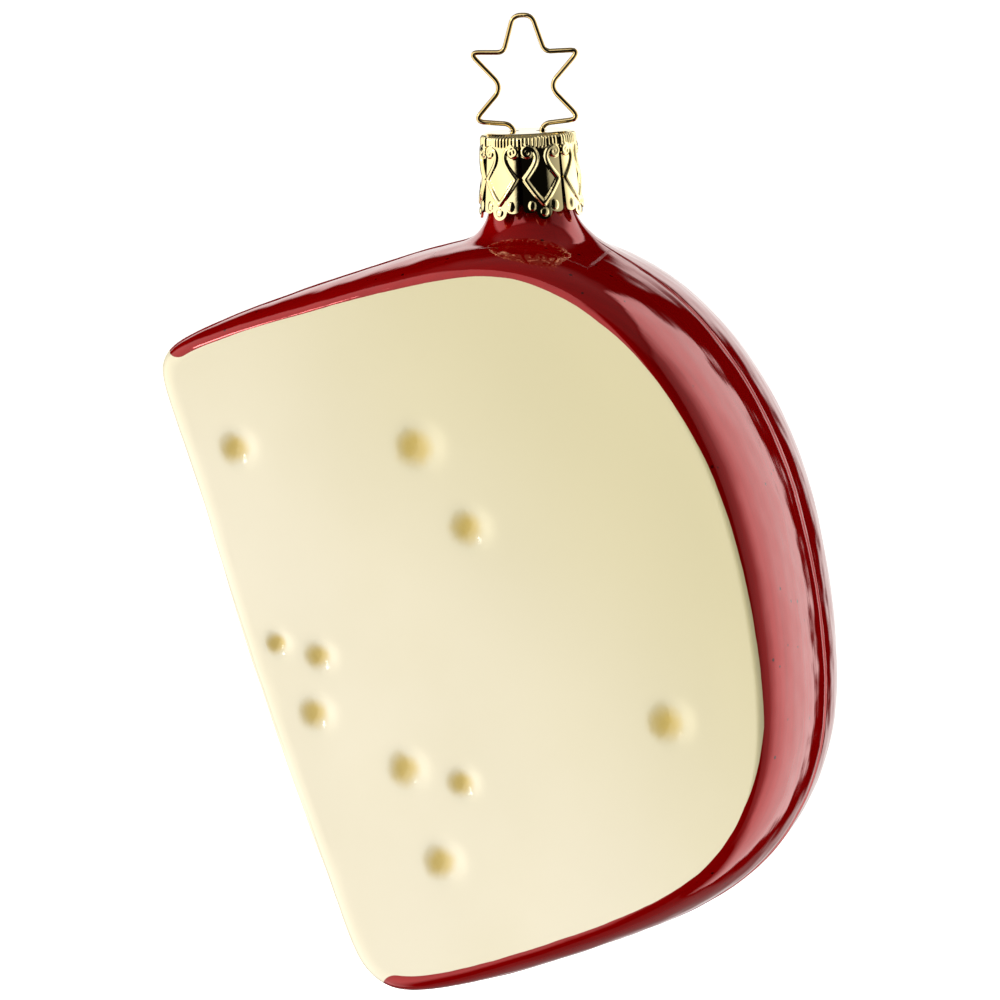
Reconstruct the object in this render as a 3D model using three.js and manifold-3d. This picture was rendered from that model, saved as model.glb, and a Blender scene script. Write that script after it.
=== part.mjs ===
// Hanging tree ornament: a hollow blown-glass wedge of red-waxed cheese, with a stamped
// metal cap on its neck and a wire hanger bent into a star.
//
// Frame: millimetres, +Z up. The origin is the hang point, inside the top bend of the wire.
// The neck's axis is the Z axis, the wedge's middle plane is XZ, and its front face looks to -Y.

import * as THREE from 'three';
import { mergeVertices } from 'three/addons/utils/BufferGeometryUtils.js';
import Module from 'manifold-3d';

const wasm = await Module();
wasm.setup();

// ---------------------------------------------------------------- driving dimensions

// The wedge is drawn on its own two axes in the middle plane: s runs from the thin edge
// towards the rind, and t runs down along the thin edge.
const EDGE_TOP = new THREE.Vector2(-49, -38);          // x and z of the corner where s = t = 0
const EDGE_LEAN = THREE.MathUtils.degToRad(16.6);      // the thin edge's lean from the vertical
const HALF_ANGLE = THREE.MathUtils.degToRad(14.5);     // each cut face's angle to the middle plane
const EDGE_HALF = 1.6;                                 // half thickness at the thin edge
const FACE_START = 2;                                  // the flat faces begin this far from the edge
const BULGE_AT_EDGE = 2;                               // how far the rind stands past the faces at s = 0
const BULGE_GROWTH = 0.035;                            // and how much further for each mm of s
const FACE_MIDDLE = new THREE.Vector2(33, 43);          // s and t of a point well inside both faces
const WALL = 1;                                        // glass thickness

// Control points (s, t) of the smooth closed outline of the middle plane, as a cubic B-spline:
// down the thin edge, round the foot, up the rind and back along the top.
const OUTLINE_CAGE = [
  [1, 12], [-0.5, 43.5], [0.5, 71], [0, 82], [6.5, 86], [27.5, 86.5], [48.5, 85.5], [61, 77.5], [67.5, 65],
  [71, 47], [71.5, 32], [66, 13.5], [53.5, 2], [40.5, 0], [20.5, 0], [6.5, 0.5], [0, 2],
];

// Shallow round dimples in the two cut faces: centre (s, t) and radius.
const DIMPLE_DEPTH = 0.7;
const FRONT_DIMPLES = [
  [8, 15.5, 2.4], [31.5, 22, 3.1], [34.5, 33, 2.6], [4.5, 39.5, 1.6], [9.5, 42.5, 2],
  [6.5, 49, 2.3], [16, 58.5, 2.6], [22.5, 62, 2], [16.5, 70.5, 2.6], [51.5, 62, 2.8],
];
const BACK_DIMPLES = [
  [14, 27, 2.8], [40, 17, 2.4], [47, 36, 3], [24, 46, 2.2], [29, 52, 2.6], [11, 63, 2.3], [42, 70, 2.7],
];

// Neck: a straight tube that flares into the rind like a trumpet.
const NECK_TOP = -14.1;
const NECK_RADIUS = 4.95;
const FLARE_TOP = -21.5;
const FLARE_FOOT = new THREE.Vector2(13, -30.8);       // radius and height where the flare is inside the rind
const FLARE_BEND_UPPER = new THREE.Vector2(NECK_RADIUS, -24.9);
const FLARE_BEND_LOWER = new THREE.Vector2(7.3, -26.4);

// Cap: a thin stamped cup, slit from below into petals that spring on the neck.
const CAP_TOP = -13.5;
const CAP_RADIUS = 5.6;
const CAP_SHOULDER = 0.9;                              // radius of the rounded shoulder
const CAP_SHEET = 0.3;
const CAP_BAND_FOOT = -14.95;                          // the uncut band ends here
const PETAL_TOP = -14.8;                               // petals start inside the band
const PETAL_COUNT = 7;
const PETAL_TURN = THREE.MathUtils.degToRad(29.5);     // the first petal's middle, from -Y towards +X
const PETAL_FLARE = 0.55;                              // how far the petals lean out at the foot
const PETAL_FLARE_CHANGE = 0.15;                       // and how much that differs between petals
const PETAL_CHANGE_TURN = 2.3;                         // radians of that change from petal to petal
const SLIT_WIDTH_TOP = 0.3;
const SLIT_WIDTH_FOOT = 0.5;
const SIDE_LOBE_CUSP = -22.45;                         // height of the notches between the lobes
const SIDE_LOBE_DEPTH = 0.4;
const MIDDLE_LOBE_DEPTH = 1.2;
const MIDDLE_LOBE_HALF = 0.4;                          // half the middle lobe's share of a petal's half width

// Hanger: one round wire, bent into a five-pointed star, with both ends going down through the cap.
const WIRE_RADIUS = 0.3;
const WIRE_HOLE_RADIUS = 0.64;
const LEG_X = 1.7;
// Corners (x, z) of the star's right half with the radius of each bend, from the top down to the wire's end.
const STAR_HALF = [
  [0, WIRE_RADIUS, 0.2], [1.15, WIRE_RADIUS, 1], [2.55, -4.1, 0.8], [6.85, -4.0, 1.3], [2.85, -8.25, 1.5],
  [6.55, -12.25, 1.4], [2.25, -12.65, 0.6], [LEG_X + 0.02, -13.35, 0.35], [LEG_X, -17.5, 2],
  [3.1, -22.5, 3], [2.7, -27, 0],
];

// How finely each shape is divided.
const OUTLINE_DIVISIONS = 800;
const SKIN_FINENESS = { columns: 96, rows: 10 };
const HOLLOW_FINENESS = { columns: 64, rows: 6 };
const DIMPLE_SEGMENTS = 16;
const HOLLOW_DIMPLE_SEGMENTS = 10;
const NECK_SEGMENTS = 32;
const FLARE_STEPS = 7;
const CAP_SEGMENTS = 42;
const SHOULDER_STEPS = 4;
const PETAL_COLUMNS = 10;
const PETAL_ROWS = 2;
const DRILL_LENGTH = 2;
const DRILL_SIDES = 16;
const WIRE_STEPS = 130;
const WIRE_CURVE_SEGMENTS = 4;                         // for half of the wire's section
const MERGE_DISTANCE = 1e-5;                           // corners closer than this are one corner

// ---------------------------------------------------------------- solids from meshes

// Turns a closed three.js geometry into a solid that can be joined and cut.
function solidOf(geometry) {
  const bare = geometry.index ? geometry.toNonIndexed() : geometry.clone();
  bare.deleteAttribute('normal');
  bare.deleteAttribute('uv');
  const merged = mergeVertices(bare, MERGE_DISTANCE);
  const vertProperties = new Float32Array(merged.attributes.position.array);
  const triVerts = new Uint32Array(merged.index.array);
  return new wasm.Manifold(new wasm.Mesh({ numProp: 3, vertProperties, triVerts }));
}

// Turns a solid back into a three.js geometry.
function geometryOf(solid) {
  const { vertProperties, triVerts } = solid.getMesh();
  const geometry = new THREE.BufferGeometry();
  geometry.setAttribute('position', new THREE.BufferAttribute(vertProperties, 3));
  geometry.setIndex(new THREE.BufferAttribute(triVerts, 1));
  geometry.computeVertexNormals();
  return geometry;
}

function joinAll(solids) {
  return solids.reduce((joined, next) => joined.add(next));
}

// ---------------------------------------------------------------- the wedge of glass

// The middle plane's outline: a closed uniform cubic B-spline through the control cage.
class OutlineCurve extends THREE.Curve {
  getPoint(u, target = new THREE.Vector2()) {
    const count = OUTLINE_CAGE.length;
    const place = (u % 1) * count;
    const first = Math.floor(place);
    const f = place - first;
    const weights = [
      (1 - f) ** 3,
      3 * f ** 3 - 6 * f ** 2 + 4,
      -3 * f ** 3 + 3 * f ** 2 + 3 * f + 1,
      f ** 3,
    ];
    target.set(0, 0);
    weights.forEach((weight, k) => {
      const [s, t] = OUTLINE_CAGE[(first + k + count - 1) % count];
      target.x += (weight / 6) * s;
      target.y += (weight / 6) * t;
    });
    return target;
  }
}

const outline = new OutlineCurve();
outline.arcLengthDivisions = OUTLINE_DIVISIONS;

// Half the wedge's thickness at a distance s from the thin edge.
function halfThickness(s) {
  return EDGE_HALF + Math.max(s - FACE_START, 0) * Math.tan(HALF_ANGLE);
}

// A point of the wedge, from its own (s, t) and its y, in the ornament's frame.
function place(s, t, y) {
  return new THREE.Vector3(
    EDGE_TOP.x + s * Math.cos(EDGE_LEAN) + t * Math.sin(EDGE_LEAN),
    y,
    EDGE_TOP.y + s * Math.sin(EDGE_LEAN) - t * Math.cos(EDGE_LEAN),
  );
}

// The closed skin of the wedge, moved inwards by depth: two flat faces, and between them a
// rind whose section is half an ellipse standing out past the faces.
function wedgeGeometry(depth, { columns, rows }) {
  const corners = [];
  for (let row = 0; row <= rows; row += 1) {
    const turn = Math.PI * (row / rows - 0.5);
    for (let column = 0; column < columns; column += 1) {
      const point = outline.getPointAt(column / columns);
      const tangent = outline.getTangentAt(column / columns);
      const outward = new THREE.Vector2(-tangent.y, tangent.x);
      const bulge = BULGE_AT_EDGE + BULGE_GROWTH * Math.max(point.x, 0);
      const faceEdge = point.clone().addScaledVector(outward, -bulge);
      const onRind = faceEdge.clone().addScaledVector(outward, (bulge - depth) * Math.cos(turn));
      const half = halfThickness(faceEdge.x) - depth / Math.cos(HALF_ANGLE);
      corners.push(place(onRind.x, onRind.y, half * Math.sin(turn)));
    }
  }
  const middleHalf = halfThickness(FACE_MIDDLE.x) - depth / Math.cos(HALF_ANGLE);
  const frontPole = corners.push(place(FACE_MIDDLE.x, FACE_MIDDLE.y, -middleHalf)) - 1;
  const backPole = corners.push(place(FACE_MIDDLE.x, FACE_MIDDLE.y, middleHalf)) - 1;
  const faces = [];
  for (let column = 0; column < columns; column += 1) {
    const next = (column + 1) % columns;
    const lastRow = rows * columns;
    faces.push(frontPole, column, next);
    faces.push(backPole, lastRow + next, lastRow + column);
    for (let row = 0; row < rows; row += 1) {
      const low = row * columns;
      const high = low + columns;
      faces.push(low + column, high + next, low + next);
      faces.push(low + column, high + column, high + next);
    }
  }
  const geometry = new THREE.BufferGeometry().setFromPoints(corners);
  geometry.setIndex(faces);
  return geometry;
}

// The balls that press the dimples, each grown by extra. side is -1 for the front face, 1 for the back.
function dimpleBalls(dimples, side, extra, segments) {
  return dimples.map(([s, t, radius]) => {
    const ballRadius = (radius ** 2 + DIMPLE_DEPTH ** 2) / (2 * DIMPLE_DEPTH);
    const ball = new THREE.SphereGeometry(ballRadius + extra, segments, segments);
    const out = ballRadius - DIMPLE_DEPTH;
    const centre = place(
      s - out * Math.sin(HALF_ANGLE),
      t,
      side * (halfThickness(s) + out * Math.cos(HALF_ANGLE)),
    );
    ball.translate(centre.x, centre.y, centre.z);
    return solidOf(ball);
  });
}

// The neck as a turned solid, moved inwards by depth, from top to inside the rind.
function neckGeometry(depth, top) {
  const flare = new THREE.CubicBezierCurve(
    new THREE.Vector2(NECK_RADIUS, FLARE_TOP), FLARE_BEND_UPPER, FLARE_BEND_LOWER, FLARE_FOOT,
  );
  const profile = [new THREE.Vector2(0, top), new THREE.Vector2(NECK_RADIUS - depth, top)];
  for (let k = 0; k <= FLARE_STEPS; k += 1) {
    const point = flare.getPoint(k / FLARE_STEPS);
    const tangent = flare.getTangent(k / FLARE_STEPS);
    profile.push(new THREE.Vector2(point.x + depth * tangent.y, point.y - depth * tangent.x));
  }
  profile.push(new THREE.Vector2(0, profile.at(-1).y));
  return upright(new THREE.LatheGeometry(profile.reverse(), NECK_SEGMENTS));
}

// A lathe turns about Y, so this stands it up along Z.
function upright(geometry) {
  return geometry.rotateX(Math.PI / 2);
}

function glassBodyGeometry() {
  const skin = solidOf(wedgeGeometry(0, SKIN_FINENESS)).add(solidOf(neckGeometry(0, NECK_TOP)));
  const frontBalls = joinAll(dimpleBalls(FRONT_DIMPLES, -1, 0, DIMPLE_SEGMENTS));
  const backBalls = joinAll(dimpleBalls(BACK_DIMPLES, 1, 0, DIMPLE_SEGMENTS));
  const frontKeep = joinAll(dimpleBalls(FRONT_DIMPLES, -1, WALL, HOLLOW_DIMPLE_SEGMENTS));
  const backKeep = joinAll(dimpleBalls(BACK_DIMPLES, 1, WALL, HOLLOW_DIMPLE_SEGMENTS));
  const hollow = solidOf(wedgeGeometry(WALL, HOLLOW_FINENESS)).subtract(frontKeep).subtract(backKeep);
  const bore = solidOf(neckGeometry(WALL, NECK_TOP + WALL));
  return geometryOf(skin.subtract(frontBalls).subtract(backBalls).subtract(hollow).subtract(bore));
}

// ---------------------------------------------------------------- the cap

// The uncut top of the cap: a disc with a rounded shoulder and a short band.
function capTopGeometry() {
  const profile = [new THREE.Vector2(0, CAP_TOP)];
  const shoulderX = CAP_RADIUS - CAP_SHOULDER;
  const shoulderZ = CAP_TOP - CAP_SHOULDER;
  const addShoulder = (radius, from, to) => {
    for (let k = 0; k <= SHOULDER_STEPS; k += 1) {
      const turn = THREE.MathUtils.lerp(from, to, k / SHOULDER_STEPS);
      const x = shoulderX + radius * Math.sin(turn);
      const z = shoulderZ + radius * Math.cos(turn);
      profile.push(new THREE.Vector2(x, z));
    }
  };
  addShoulder(CAP_SHOULDER, 0, Math.PI / 2);
  profile.push(new THREE.Vector2(CAP_RADIUS, CAP_BAND_FOOT));
  profile.push(new THREE.Vector2(CAP_RADIUS - CAP_SHEET, CAP_BAND_FOOT));
  addShoulder(CAP_SHOULDER - CAP_SHEET, Math.PI / 2, 0);
  profile.push(new THREE.Vector2(0, CAP_TOP - CAP_SHEET));
  return upright(new THREE.LatheGeometry(profile.reverse(), CAP_SEGMENTS));
}

// The height of a petal's scalloped foot, at across from -1 to 1 over its width.
function petalFoot(across) {
  const side = Math.abs(across);
  const sideMiddle = (1 + MIDDLE_LOBE_HALF) / 2;
  const inMiddle = side < MIDDLE_LOBE_HALF;
  const offset = inMiddle ? side / MIDDLE_LOBE_HALF : (side - sideMiddle) / (1 - sideMiddle);
  const depth = inMiddle ? MIDDLE_LOBE_DEPTH : SIDE_LOBE_DEPTH;
  return SIDE_LOBE_CUSP - depth * Math.sqrt(Math.max(1 - offset ** 2, 0));
}

// One petal: a flat plate bent round the neck's axis, wider and further out towards its foot.
function petalGeometry(index) {
  const plate = new THREE.BoxGeometry(2, 1, 1, PETAL_COLUMNS, PETAL_ROWS, 1);
  const middleTurn = PETAL_TURN + (index * 2 * Math.PI) / PETAL_COUNT;
  const flare = PETAL_FLARE + PETAL_FLARE_CHANGE * Math.sin(PETAL_CHANGE_TURN * index);
  const point = new THREE.Vector3();
  for (let k = 0; k < plate.attributes.position.count; k += 1) {
    point.fromBufferAttribute(plate.attributes.position, k);
    const down = 0.5 - point.y;
    const inwards = CAP_SHEET * (0.5 - point.z);
    const radius = CAP_RADIUS + flare * down - inwards;
    const slit = THREE.MathUtils.lerp(SLIT_WIDTH_TOP, SLIT_WIDTH_FOOT, down);
    const halfTurn = Math.PI / PETAL_COUNT - slit / 2 / radius;
    const turn = middleTurn + point.x * halfTurn;
    const height = THREE.MathUtils.lerp(PETAL_TOP, petalFoot(point.x), down);
    plate.attributes.position.setXYZ(k, radius * Math.sin(turn), -radius * Math.cos(turn), height);
  }
  return plate;
}

function capGeometry() {
  const petals = Array.from({ length: PETAL_COUNT }, (_, index) => solidOf(petalGeometry(index)));
  const wireHoles = [-LEG_X, LEG_X].map((x) => {
    const drill = new THREE.CylinderGeometry(WIRE_HOLE_RADIUS, WIRE_HOLE_RADIUS, DRILL_LENGTH, DRILL_SIDES);
    drill.rotateX(Math.PI / 2);
    drill.translate(x, 0, CAP_TOP);
    return solidOf(drill);
  });
  return geometryOf(joinAll([solidOf(capTopGeometry()), ...petals]).subtract(joinAll(wireHoles)));
}

// ---------------------------------------------------------------- the hanger

// The wire's middle line: straight runs with each corner rounded by a quadratic bend.
function wirePath() {
  const mirrored = STAR_HALF.slice(1).map(([x, z, bend]) => [-x, z, bend]);
  const corners = [...mirrored.reverse(), ...STAR_HALF];
  const path = new THREE.CurvePath();
  const at = (k) => new THREE.Vector3(corners[k][0], 0, corners[k][1]);
  let from = at(0);
  for (let k = 1; k < corners.length - 1; k += 1) {
    const corner = at(k);
    const arrive = corner.clone().add(at(k - 1).sub(corner).setLength(corners[k][2]));
    const leave = corner.clone().add(at(k + 1).sub(corner).setLength(corners[k][2]));
    path.add(new THREE.LineCurve3(from, arrive));
    path.add(new THREE.QuadraticBezierCurve3(arrive, corner, leave));
    from = leave;
  }
  path.add(new THREE.LineCurve3(from, at(corners.length - 1)));
  return path;
}

function hangerGeometry() {
  const section = new THREE.Shape().absarc(0, 0, WIRE_RADIUS, 0, 2 * Math.PI);
  const options = { steps: WIRE_STEPS, curveSegments: WIRE_CURVE_SEGMENTS, extrudePath: wirePath() };
  const wire = new THREE.ExtrudeGeometry(section, options);
  return geometryOf(solidOf(wire));
}

// ---------------------------------------------------------------- the assembly

function namedMesh(name, geometry, color, roughness, metalness) {
  const mesh = new THREE.Mesh(geometry, new THREE.MeshStandardMaterial({ color, roughness, metalness }));
  mesh.name = name;
  return mesh;
}

const ornament = new THREE.Group();
ornament.add(
  namedMesh('glass_body', glassBodyGeometry(), 0x8c1014, 0.12, 0),
  namedMesh('cap', capGeometry(), 0xe6d79a, 0.15, 1),
  namedMesh('hanger', hangerGeometry(), 0xb99a5a, 0.25, 1),
);

export default ornament;
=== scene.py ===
"""Hanging cheese wedge ornament: the finished surfaces of a moulded glass wedge of red-waxed
cheese, its stamped metal cap and its star-shaped wire hanger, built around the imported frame.

Shapes are worked out in millimetres, in the part's own frame (+Z up, origin at the hang point),
and become metres when their mesh is made."""

import math

import bpy
import numpy as np
from mathutils import Matrix, Vector


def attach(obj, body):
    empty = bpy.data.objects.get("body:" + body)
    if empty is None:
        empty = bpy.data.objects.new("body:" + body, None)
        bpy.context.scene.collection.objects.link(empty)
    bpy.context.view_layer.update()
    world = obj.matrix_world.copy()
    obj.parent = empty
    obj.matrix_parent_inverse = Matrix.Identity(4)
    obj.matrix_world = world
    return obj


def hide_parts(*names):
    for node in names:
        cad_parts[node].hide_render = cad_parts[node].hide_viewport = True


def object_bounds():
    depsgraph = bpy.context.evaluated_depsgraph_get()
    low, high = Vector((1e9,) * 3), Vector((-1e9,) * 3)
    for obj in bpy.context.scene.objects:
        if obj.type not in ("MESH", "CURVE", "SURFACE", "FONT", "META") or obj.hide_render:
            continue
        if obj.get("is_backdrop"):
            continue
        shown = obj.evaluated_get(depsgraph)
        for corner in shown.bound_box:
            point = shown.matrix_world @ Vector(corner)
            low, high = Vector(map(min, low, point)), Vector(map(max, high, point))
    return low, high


bl_info = {
    "name": "Hanging Cheese Wedge Ornament",
    "version": (1, 0, 0),
    "blender": (4, 5, 0),
    "location": "3D View > Sidebar > Ornament",
    "description": "Builds a glass tree ornament shaped as a wedge of red-waxed cheese",
    "category": "Add Mesh",
}

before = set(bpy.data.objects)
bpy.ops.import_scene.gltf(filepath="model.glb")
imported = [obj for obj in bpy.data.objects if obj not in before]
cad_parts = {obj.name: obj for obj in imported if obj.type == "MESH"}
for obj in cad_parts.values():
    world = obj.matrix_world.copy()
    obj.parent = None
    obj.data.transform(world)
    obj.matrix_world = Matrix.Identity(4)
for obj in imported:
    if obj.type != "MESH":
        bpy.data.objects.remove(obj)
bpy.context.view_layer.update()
MM = 0.001

# ---------------------------------------------------------------- the wedge's driving dimensions, in mm

EDGE_TOP = (-49.0, -38.0)            # x and z of the corner where s = t = 0
EDGE_LEAN = math.radians(16.6)       # the thin edge's lean from the vertical
HALF_ANGLE = math.radians(14.5)      # each cut face's angle to the middle plane
EDGE_HALF = 1.6                      # half thickness at the thin edge
FACE_START = 2.0                     # the flat faces begin this far from the edge
EDGE_BLEND = 7.0                     # up to this s the rind's section changes into the thin edge's
EDGE_TURN_SAVED = math.radians(28.5)  # by which that section turns less, to leave the faces without a bend
BULGE_AT_EDGE = 2.0                  # how far the rind stands past the faces at s = 0
BULGE_GROWTH = 0.035                 # and how much further for each mm of s
WALL = 1.0                           # glass thickness

# Control points (s, t) of the outline: down the thin edge, round the foot, up the rind, back along the top.
OUTLINE_CAGE = np.array([
    [1, 12], [-0.5, 43.5], [0.5, 71], [0, 82], [6.5, 86], [27.5, 86.5], [48.5, 85.5], [61, 77.5], [67.5, 65],
    [71, 47], [71.5, 32], [66, 13.5], [53.5, 2], [40.5, 0], [20.5, 0], [6.5, 0.5], [0, 2],
])
CORNER_STEPS = (-1.2, 3.4, 6.8, 11.4, 15.8)   # the four corners, counted in cage points, and the first again

# Dimples in the two cut faces: centre (s, t) and radius.
FRONT_DIMPLES = [
    (8, 15.5, 2.4), (31.5, 22, 3.1), (34.5, 33, 2.6), (4.5, 39.5, 1.6), (9.5, 42.5, 2.0),
    (6.5, 49, 2.3), (16, 58.5, 2.6), (22.5, 62, 2.0), (16.5, 70.5, 2.6), (51.5, 62, 2.8),
]
BACK_DIMPLES = [
    (14, 27, 2.8), (40, 17, 2.4), (47, 36, 3.0), (24, 46, 2.2), (29, 52, 2.6), (11, 63, 2.3), (42, 70, 2.7),
]
DIMPLE_RIM = 1.25                    # the soft rim reaches this many radii
DIMPLE_PULL = 0.4                    # how strongly the grid gathers in a dimple
DIMPLE_PULL_REACH = 1.1              # and how far from its centre, in radii
FACE_RIPPLE = 0.8                    # the faces' waves, as a share of the rind's

# Neck: a straight tube that flares into the rind like a trumpet. Pairs are radius and height.
NECK_TOP = -14.1
NECK_RADIUS = 4.95
NECK_LIP = 0.35
FLARE = np.array([[4.95, -21.5], [4.95, -24.9], [7.3, -26.4], [13.0, -30.8]])
FLARE_BLEND = 1.0                    # softness of the join between flare and rind
COLLAR_RADIUS = 6.2                  # the neck's own rings begin here

# Paint: how far the cream runs out past the face's edge, in mm, at places counted in cage points.
BORDER_DRIFT = np.array([
    [-1.2, 0.3], [2.5, 0.0], [4.5, 0.1], [6.2, 0.1], [7.0, 0.0], [7.8, 0.75], [8.8, 0.6], [9.8, 0.35],
    [10.6, 0.0], [11.2, -0.35], [11.9, -0.25], [13.0, 0.0], [14.5, 0.35], [15.8, 0.3],
])
SPRAY_SHIFT = 0.36                   # the ochre lies this share of a radius towards the thin edge
CAP_SHADOW_HEIGHTS = (-22.4, -21.8)           # heights between which the neck's coat turns to a near-black painted shade, for the cap's shadow
RED_STARTS = 2.6                     # the lacquer stops this far from the thin edge
RED_ROUNDING = 2.0                   # softness of the border's corners there
NECK_BORDER = 6.0                    # border value of the collar and neck: well inside the lacquer
NECK_PLACE = 50.0                    # and their s in the faces' own map
SIDE_GAP = 40.0                      # third coordinate of the faces' own map: minus in front, plus behind
STREAK_GAP = 20.0                    # the same for the map that the streaks follow

# Cap: a thin stamped cup, slit from below into petals.
CAP_TOP = -13.5
CAP_RADIUS = 5.6
CAP_SHOULDER = 0.9                   # radius of the rounded shoulder
CAP_SHEET = 0.3
PETAL_COUNT = 7
PETAL_TURN = math.radians(29.5)      # the first petal's middle, from -Y towards +X
PETAL_FLARE_CHANGE = 0.15            # how much the lean differs between petals
PETAL_CHANGE_TURN = 2.3              # radians of that change from petal to petal
SLIT_WIDTH_TOP = 0.3
SLIT_WIDTH_FOOT = 0.5
SIDE_LOBE_CUSP = -22.45              # height of the notches between the lobes
SIDE_LOBE_DEPTH = 0.4
MIDDLE_LOBE_DEPTH = 1.2
MIDDLE_LOBE_HALF = 0.4               # half the middle lobe's share of a petal's half width
RIBS_ROUND = 77                      # upright ribs stamped round the shoulder

# Drawing stamped into each petal, left half: x from the petal's middle, and height.
CURL_MIDDLE = (-1.62, -15.65)
CURL_TURNS = 1.25
CURL_RADII = (0.14, 0.64)
SCROLL_KNOTS = [(-0.95, -15.35), (-0.6, -16.1), (-0.75, -16.95), (-1.3, -17.9), (-1.98, -18.85)]
LOZENGE_KNOTS = [(-1.3, -19.95), (-0.62, -20.95), (0.0, -21.75)]
STRAND_HALF = 0.3                    # half the width of a strand
BEAD_SHARE = 0.7                     # height of the beads as a share of the strands' height
PETAL_BEADS = [(1.62, -15.65, 0.2, 0.2), (1.3, -22.0, 0.4, 0.6), (0.0, -22.75, 0.45, 0.5)]

# Hanger: corners (x, z) of the star's right half with the radius of each bend, then the leg in the cap.
LEG_X = 1.7
WIRE_HOLE_RADIUS = 0.64
STAR_HALF = [
    (0, 0.3, 0.2), (1.15, 0.3, 1), (2.55, -4.1, 0.8), (6.85, -4.0, 1.3), (2.85, -8.25, 1.5),
    (6.55, -12.25, 1.4), (2.25, -12.65, 0.6), (LEG_X + 0.02, -13.35, 0.35), (LEG_X, -17.5, 2),
    (3.1, -22.5, 3), (2.7, -27, 0),
]
WIRE_SWAY = 0.12                     # how far the wire leans off the plane
WIRE_SWAY_WAVES = 3
WIRE_TIP = 0.2                       # the end faces' share of the wire's radius

# Grid counts of the outer skin; the inner skin takes every fourth line.
SIDE_COLUMNS = 136                   # down the thin edge, and up the rind opposite
END_COLUMNS = 104                    # along the foot, and along the top
RIND_ROWS = 96
COARSE = 4
HOLE_SPREAD = 1.45                   # half the hole's length along the rind, in collar radii
HOLE_TURN = 0.72                     # and where it ends across the rind, as a turn of the half ellipse
COLLAR_RINGS = 12
FLARE_RINGS = 12
TUBE_RINGS = 8
LIP_RINGS = 3
PROFILE_STEPS = 400                  # steps of the table that the flare's start is read from
FLOOR_SIDES = 96

# Grid counts of the cap and the wire.
PETAL_COLUMNS = 54
PETAL_ROWS = 82
TOP_ROWS = 12
SHOULDER_ROWS = 9
RIB_ROWS = (3, 12)                   # the ribs' first row after the flat top, and how many rows they take
HOLE_HALF_TURN = 0.55                # half the turn that a wire hole's patch takes in the cap's top
HOLE_ROW_RADII = (0.75, 2.6)         # and the radii that it lies between
HOLE_RINGS = 3
SHARP_BEND = math.radians(50)        # edges of the sheet that bend more are shaded sharp
BEND_STEPS = 17
WIRE_STEPS = 620
WIRE_SIDES = 16


# ---------------------------------------------------------------- meshes

class Skin:
    """Collects points and the faces between them, by number, and makes them a piece."""

    def __init__(self):
        self.points = []
        self.faces = []
        self.count = 0

    def add(self, points):
        """Takes an array of points and gives back the array of their numbers."""
        points = np.asarray(points, float)
        numbers = self.count + np.arange(points[..., 0].size).reshape(points.shape[:-1])
        self.points.append(points.reshape(-1, 3))
        self.count += numbers.size
        return numbers

    def put(self, faces, flip=False):
        """Takes faces as rows of point numbers, turned over if asked."""
        self.faces.append(faces[:, ::-1] if flip else faces)

    def weave(self, numbers, around=False, keep=None, flip=False):
        """Fills a grid of point numbers with four-sided faces, cell by cell."""
        if around:
            numbers = np.concatenate([numbers, numbers[:, :1]], axis=1)
        cells = np.stack([numbers[:-1, :-1], numbers[1:, :-1], numbers[1:, 1:], numbers[:-1, 1:]], axis=-1)
        self.put(cells[keep] if keep is not None else cells.reshape(-1, 4), flip)

    def fan(self, middle, ring, flip=False):
        """Joins a ring to one point in its middle with triangles."""
        self.put(np.stack([np.full_like(ring, middle), ring, np.roll(ring, -1)], -1), flip)

    def bridge(self, many, few):
        """Joins a ring to a ring with fewer points: a fan from each point of the few."""
        ratio = len(many) // len(few)
        spokes = np.append(many, many[0])[np.arange(len(few))[:, None] * ratio + np.arange(ratio + 1)]
        here, beyond = few[:, None], np.roll(few, -1)[:, None]
        middle = ratio // 2
        apex = np.where(np.arange(ratio) < middle, here, beyond)
        fans = np.stack([spokes[:, :-1], apex, spokes[:, 1:]], axis=-1).reshape(-1, 3)
        gaps = np.stack([spokes[:, middle], few, np.roll(few, -1)], axis=-1)
        self.faces += [fans, gaps]

    def piece(self, name, layers=None, sharp=None):
        """Makes the object, in metres, without the points that no face uses. layers are values for each
        point, stored as attributes."""
        points = np.concatenate(self.points)
        used = np.zeros(len(points), bool)
        for part in self.faces:
            used[part] = True
        renumber = np.cumsum(used) - 1
        faces = [face for part in self.faces for face in renumber[part].tolist()]
        mesh = bpy.data.meshes.new(name)
        mesh.from_pydata((points[used] * MM).tolist(), [], faces)
        mesh.polygons.foreach_set("use_smooth", np.ones(len(mesh.polygons), bool))
        for layer, values in (layers or {}).items():
            values = np.asarray(values, np.float32)[used]
            flat = values.ndim == 1
            made = mesh.attributes.new(layer, "FLOAT" if flat else "FLOAT_VECTOR", "POINT")
            made.data.foreach_set("value" if flat else "vector", values.ravel())
        if sharp is not None:
            mesh.set_sharp_from_angle(angle=sharp)
        mesh.update()
        made = bpy.data.objects.new(name, mesh)
        bpy.context.scene.collection.objects.link(made)
        return made


def circles(profile, around):
    """A ring of points round the Z axis for each radius and height of a profile."""
    heights = np.broadcast_to(profile[:, None, 1:], (len(profile), len(around), 1))
    return np.concatenate([profile[:, None, :1] * around[None], heights], axis=2)


def smooth_max(a, b, softness):
    """The greater of two values, with the corner where they cross rounded by a parabola."""
    share = np.clip(0.5 + 0.5 * (a - b) / softness, 0, 1)
    return b + (a - b) * share + softness * share * (1 - share)


# ---------------------------------------------------------------- the wedge of glass

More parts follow.
